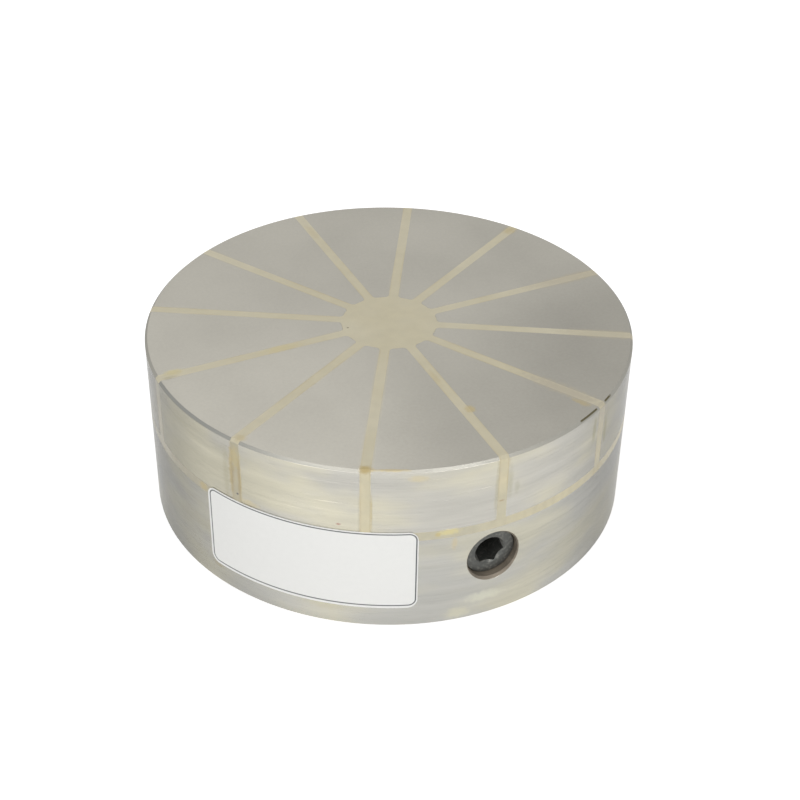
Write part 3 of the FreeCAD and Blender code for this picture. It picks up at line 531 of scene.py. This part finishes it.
black_oxide = speckled("black_oxide", colour(82, 83, 80), colour(128, 127, 121), 0.7, 0.42, 900, 0.6)
screw_steel = speckled("screw_steel", colour(50, 50, 50), colour(86, 84, 80), 0.8, 0.36, 900, 0.6)
seal_rubber = speckled("seal_rubber", colour(34, 34, 34), colour(46, 46, 45), 0.0, 0.6, 700, 0.5)
bronze = speckled("bronze", colour(178, 140, 88), colour(150, 112, 66), 1.0, 0.3, 300, 0.6)
stainless = speckled("stainless", colour(196, 196, 192), colour(176, 176, 172), 1.0, 0.28, 300, 0.6)
nickel = speckled("nickel_plate", colour(190, 188, 180), colour(172, 170, 160), 1.0, 0.24, 250, 0.6)

# %% [markdown]
# ## The label
#
# White film with a thin line printed inside its edge.  The line could be a mesh of its own, but print has no
# thickness, so it belongs to the material.  Bearing times radius gives the length along the bent film, so the
# label can be treated as flat.  There the distance to a rectangle with rounded corners is known: beyond the
# corner's middle it is a circle's, elsewhere a straight side's.  The line is drawn where it is nearly 0.

# %% White film and its border line
LABEL_BEARING = -132.55
BORDER_HALF_LENGTH = 32.3 * MM
BORDER_MARGIN = 0.8 * MM
BORDER_CORNER = 2.2 * MM
BORDER_SHIFT = 0.2 * MM
BORDER_HALF_WIDTH = 0.16 * MM


def from_rounded_rectangle(along, up, half_length, half_height, corner):
    """Distance from a rectangle's rounded outline: negative inside, 0 on it, positive outside."""
    over = (abs(along) - (half_length - corner)).math("MAXIMUM", 0.0)
    above = (abs(up) - (half_height - corner)).math("MAXIMUM", 0.0)
    straight = (abs(along) - half_length).math("MAXIMUM", abs(up) - half_height)
    rounded = (over * over + above * above) ** 0.5 - corner
    return straight.math("MAXIMUM", rounded)


def label_film():
    """White film with the thin border line that is printed inside its edge."""
    finish = Finish("label_film")
    x, y, z, radius, bearing = finish.place()
    low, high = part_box("label")
    half_height = (high.z - low.z) / 2 - BORDER_MARGIN
    along = (bearing - LABEL_BEARING) * (math.pi / 180 * RADIUS) - BORDER_SHIFT
    up = z - (high.z + low.z) / 2 - BORDER_SHIFT
    outline = from_rounded_rectangle(along, up, BORDER_HALF_LENGTH, half_height, BORDER_CORNER)
    line = finish.band(outline, 0.0, BORDER_HALF_WIDTH, BORDER_HALF_WIDTH / 2)
    fibre = finish.noise(x * 600, y * 600, z * 600, 3.0)
    shade = finish.scaled(colour(235, 235, 232), 0.97 + fibre * 0.04)
    shade = finish.mix(line * 0.95, shade, colour(70, 73, 76))
    return finish.close(Base_Color=shade, Roughness=0.42)


film = label_film()

# %% [markdown]
# ## Every solid gets its finish
#
# Each solid of the frame names a slot, such as turned_steel.  Giving out the finishes solid by solid would be
# a long list that can miss one, so a short table maps each slot to a finish, and a loop does the rest.

# %% Give every solid its finish
FINISH_OF_SLOT = {
    "ground_steel": ground_steel,
    "turned_steel": turned_steel,
    "resin": resin,
    "stainless": stainless,
    "bronze": bronze,
    "magnet": nickel,
    "black_oxide": black_oxide,
    "seal_rubber": seal_rubber,
    "screw_steel": screw_steel,
    "label_film": film,
}
for part in frame["record"]["subparts"]:
    solid = nodes[part["node"]]
    for slot in solid.material_slots:
        slot.material = FINISH_OF_SLOT[part["material_slot"]]
print("finishes given to", len(nodes), "solids")

# %% [markdown]
# ## A white world
#
# Catalogue pictures stand on white.  A world that is fully white would also light the chuck from every side
# and wash it out.  So the world is white only for the rays that show it, straight to the camera, in
# reflections and through glass, and a plain grey level for the light that falls on surfaces.

# %% Rays that show the surroundings
scene = bpy.context.scene
scene.view_settings.view_transform = "Standard"
AMBIENT = 0.36


def seen_directly(tree):
    """1 for rays that show the surroundings: from the camera, in reflections and through glass."""
    rays = tree.nodes.new("ShaderNodeLightPath")
    total = rays.outputs["Is Camera Ray"]
    for name in ("Is Glossy Ray", "Is Transmission Ray"):
        either = tree.nodes.new("ShaderNodeMath")
        either.operation = "MAXIMUM"
        tree.links.new(total, either.inputs[0])
        tree.links.new(rays.outputs[name], either.inputs[1])
        total = either.outputs[0]
    return total


def make_world(ambient):
    """White where it is seen, and of strength ambient where it lights."""
    world = bpy.data.worlds.new("studio")
    world.use_nodes = True
    tree = world.node_tree
    background = tree.nodes["Background"]
    level = tree.nodes.new("ShaderNodeMapRange")
    level.inputs["To Min"].default_value = ambient
    level.inputs["To Max"].default_value = 1.0
    tree.links.new(seen_directly(tree), level.inputs["Value"])
    background.inputs["Color"].default_value = (1, 1, 1, 1)
    tree.links.new(level.outputs[0], background.inputs["Strength"])
    scene.world = world


make_world(AMBIENT)
print("world: white where seen, lights at", AMBIENT)

# %% [markdown]
# ## The table
#
# The chuck needs something to cast its shadow on.  A plain white sheet would look grey under these lamps, and
# a shadow catcher would need its own render settings.  So the sheet is matt and pale, and glows a little where
# it is seen, which lifts it to white and leaves the shadow in place.  It lies a hair below the chuck, because
# two faces at the same height would flicker through each other.

# %% A sheet of white paper
FLOOR_REACH = 6.0
FLOOR_GLOW = 0.6
FLOOR_LEVEL = -0.02 * MM


def make_floor(extent, glow):
    """A white sheet under the chuck that keeps the shadow; its glow is seen and lights nothing."""
    mesh = bpy.data.meshes.new("floor")
    corners = [(-extent, -extent), (extent, -extent), (extent, extent), (-extent, extent)]
    mesh.from_pydata([(x, y, FLOOR_LEVEL) for x, y in corners], [], [(0, 1, 2, 3)])
    floor = bpy.data.objects.new("floor", mesh)
    scene.collection.objects.link(floor)
    material = bpy.data.materials.new("white_paper")
    material.use_nodes = True
    tree = material.node_tree
    shader = tree.nodes["Principled BSDF"]
    shader.inputs["Base Color"].default_value = (0.8, 0.8, 0.8, 1)
    shader.inputs["Roughness"].default_value = 1.0
    shader.inputs["Specular IOR Level"].default_value = 0.0
    shader.inputs["Emission Color"].default_value = (1, 1, 1, 1)
    level = tree.nodes.new("ShaderNodeMath")
    level.operation = "MULTIPLY"
    level.inputs[1].default_value = glow
    tree.links.new(seen_directly(tree), level.inputs[0])
    tree.links.new(level.outputs[0], shader.inputs["Emission Strength"])
    mesh.materials.append(material)


make_floor(FLOOR_REACH, FLOOR_GLOW)
print("floor:", 2 * FLOOR_REACH, "m wide")

# %% [markdown]
# ## Lamps
#
# Steel shows its lamps as much as it shows itself.  Small lamps would leave hard spots, so the four here are
# large soft boxes: a weak one overhead for the face, two tall ones in front for the side, and one behind for
# the far half of the face.  The camera doesn't see them.

# %% Soft boxes
def softbox(name, bearing, elevation, distance, size, watts, aim=(0, 0, 0.03)):
    """An area lamp on a sphere about the chuck, turned to face it; its size is width and height."""
    angle, lift = math.radians(bearing), math.radians(elevation)
    direction = Vector((math.cos(lift) * math.cos(angle), math.cos(lift) * math.sin(angle), math.sin(lift)))
    lamp = bpy.data.lights.new(name, "AREA")
    lamp.shape = "RECTANGLE"
    lamp.size, lamp.size_y = size
    lamp.energy = watts
    holder = bpy.data.objects.new(name, lamp)
    scene.collection.objects.link(holder)
    holder.location = Vector(aim) + direction * distance
    holder.rotation_euler = direction.to_track_quat("Z", "Y").to_euler()
    holder.visible_camera = False
    print("lamp:", name, watts, "W")


softbox("overhead_softbox", bearing=-150, elevation=78, distance=1.2, size=(1.0, 1.0), watts=1.2)
softbox("left_softbox", bearing=-144, elevation=34, distance=1.1, size=(0.56, 1.3), watts=4.5)
softbox("right_softbox", bearing=-81, elevation=36, distance=1.1, size=(0.28, 1.3), watts=4.4)
softbox("back_softbox", bearing=92, elevation=62, distance=1.1, size=(0.7, 0.5), watts=1.8)

# %% [markdown]
# ## Camera
#
# The chuck is looked at from the front and above, near enough that its far rim is clearly smaller.  A Track To
# constraint would aim the camera at one point and keep it level.  Here it stands at a bearing, an elevation
# and a distance from the middle of the face, and is then turned, tilted and rolled by small angles of its
# own, as a camera held by hand is.

# %% Place and turn the camera
CAMERA_DISTANCE = 477.2 * MM
CAMERA_BEARING = -114.14
CAMERA_ELEVATION = 32.58
CAMERA_TURN = -0.53
CAMERA_TILT = 35.47
CAMERA_ROLL = 0.94
FOCAL_LENGTH = 69.29
SENSOR_WIDTH = 36

angle, lift = math.radians(CAMERA_BEARING), math.radians(CAMERA_ELEVATION)
from_face = Vector((math.cos(lift) * math.cos(angle), math.cos(lift) * math.sin(angle), math.sin(lift)))
camera_data = bpy.data.cameras.new("camera")
camera_data.lens = FOCAL_LENGTH
camera_data.sensor_width = SENSOR_WIDTH
camera = bpy.data.objects.new("camera", camera_data)
scene.collection.objects.link(camera)
turn = Matrix.Rotation(math.radians(CAMERA_BEARING + 90 + CAMERA_TURN), 4, "Z")
tilt = Matrix.Rotation(math.radians(90 - CAMERA_TILT), 4, "X")
roll = Matrix.Rotation(math.radians(CAMERA_ROLL), 4, "Z")
station = Matrix.Translation(Vector((0, 0, FACE)) + from_face * CAMERA_DISTANCE)
camera.matrix_world = station @ turn @ tilt @ roll
scene.camera = camera
print("camera:", FOCAL_LENGTH, "mm lens,", CAMERA_DISTANCE, "m from the face")
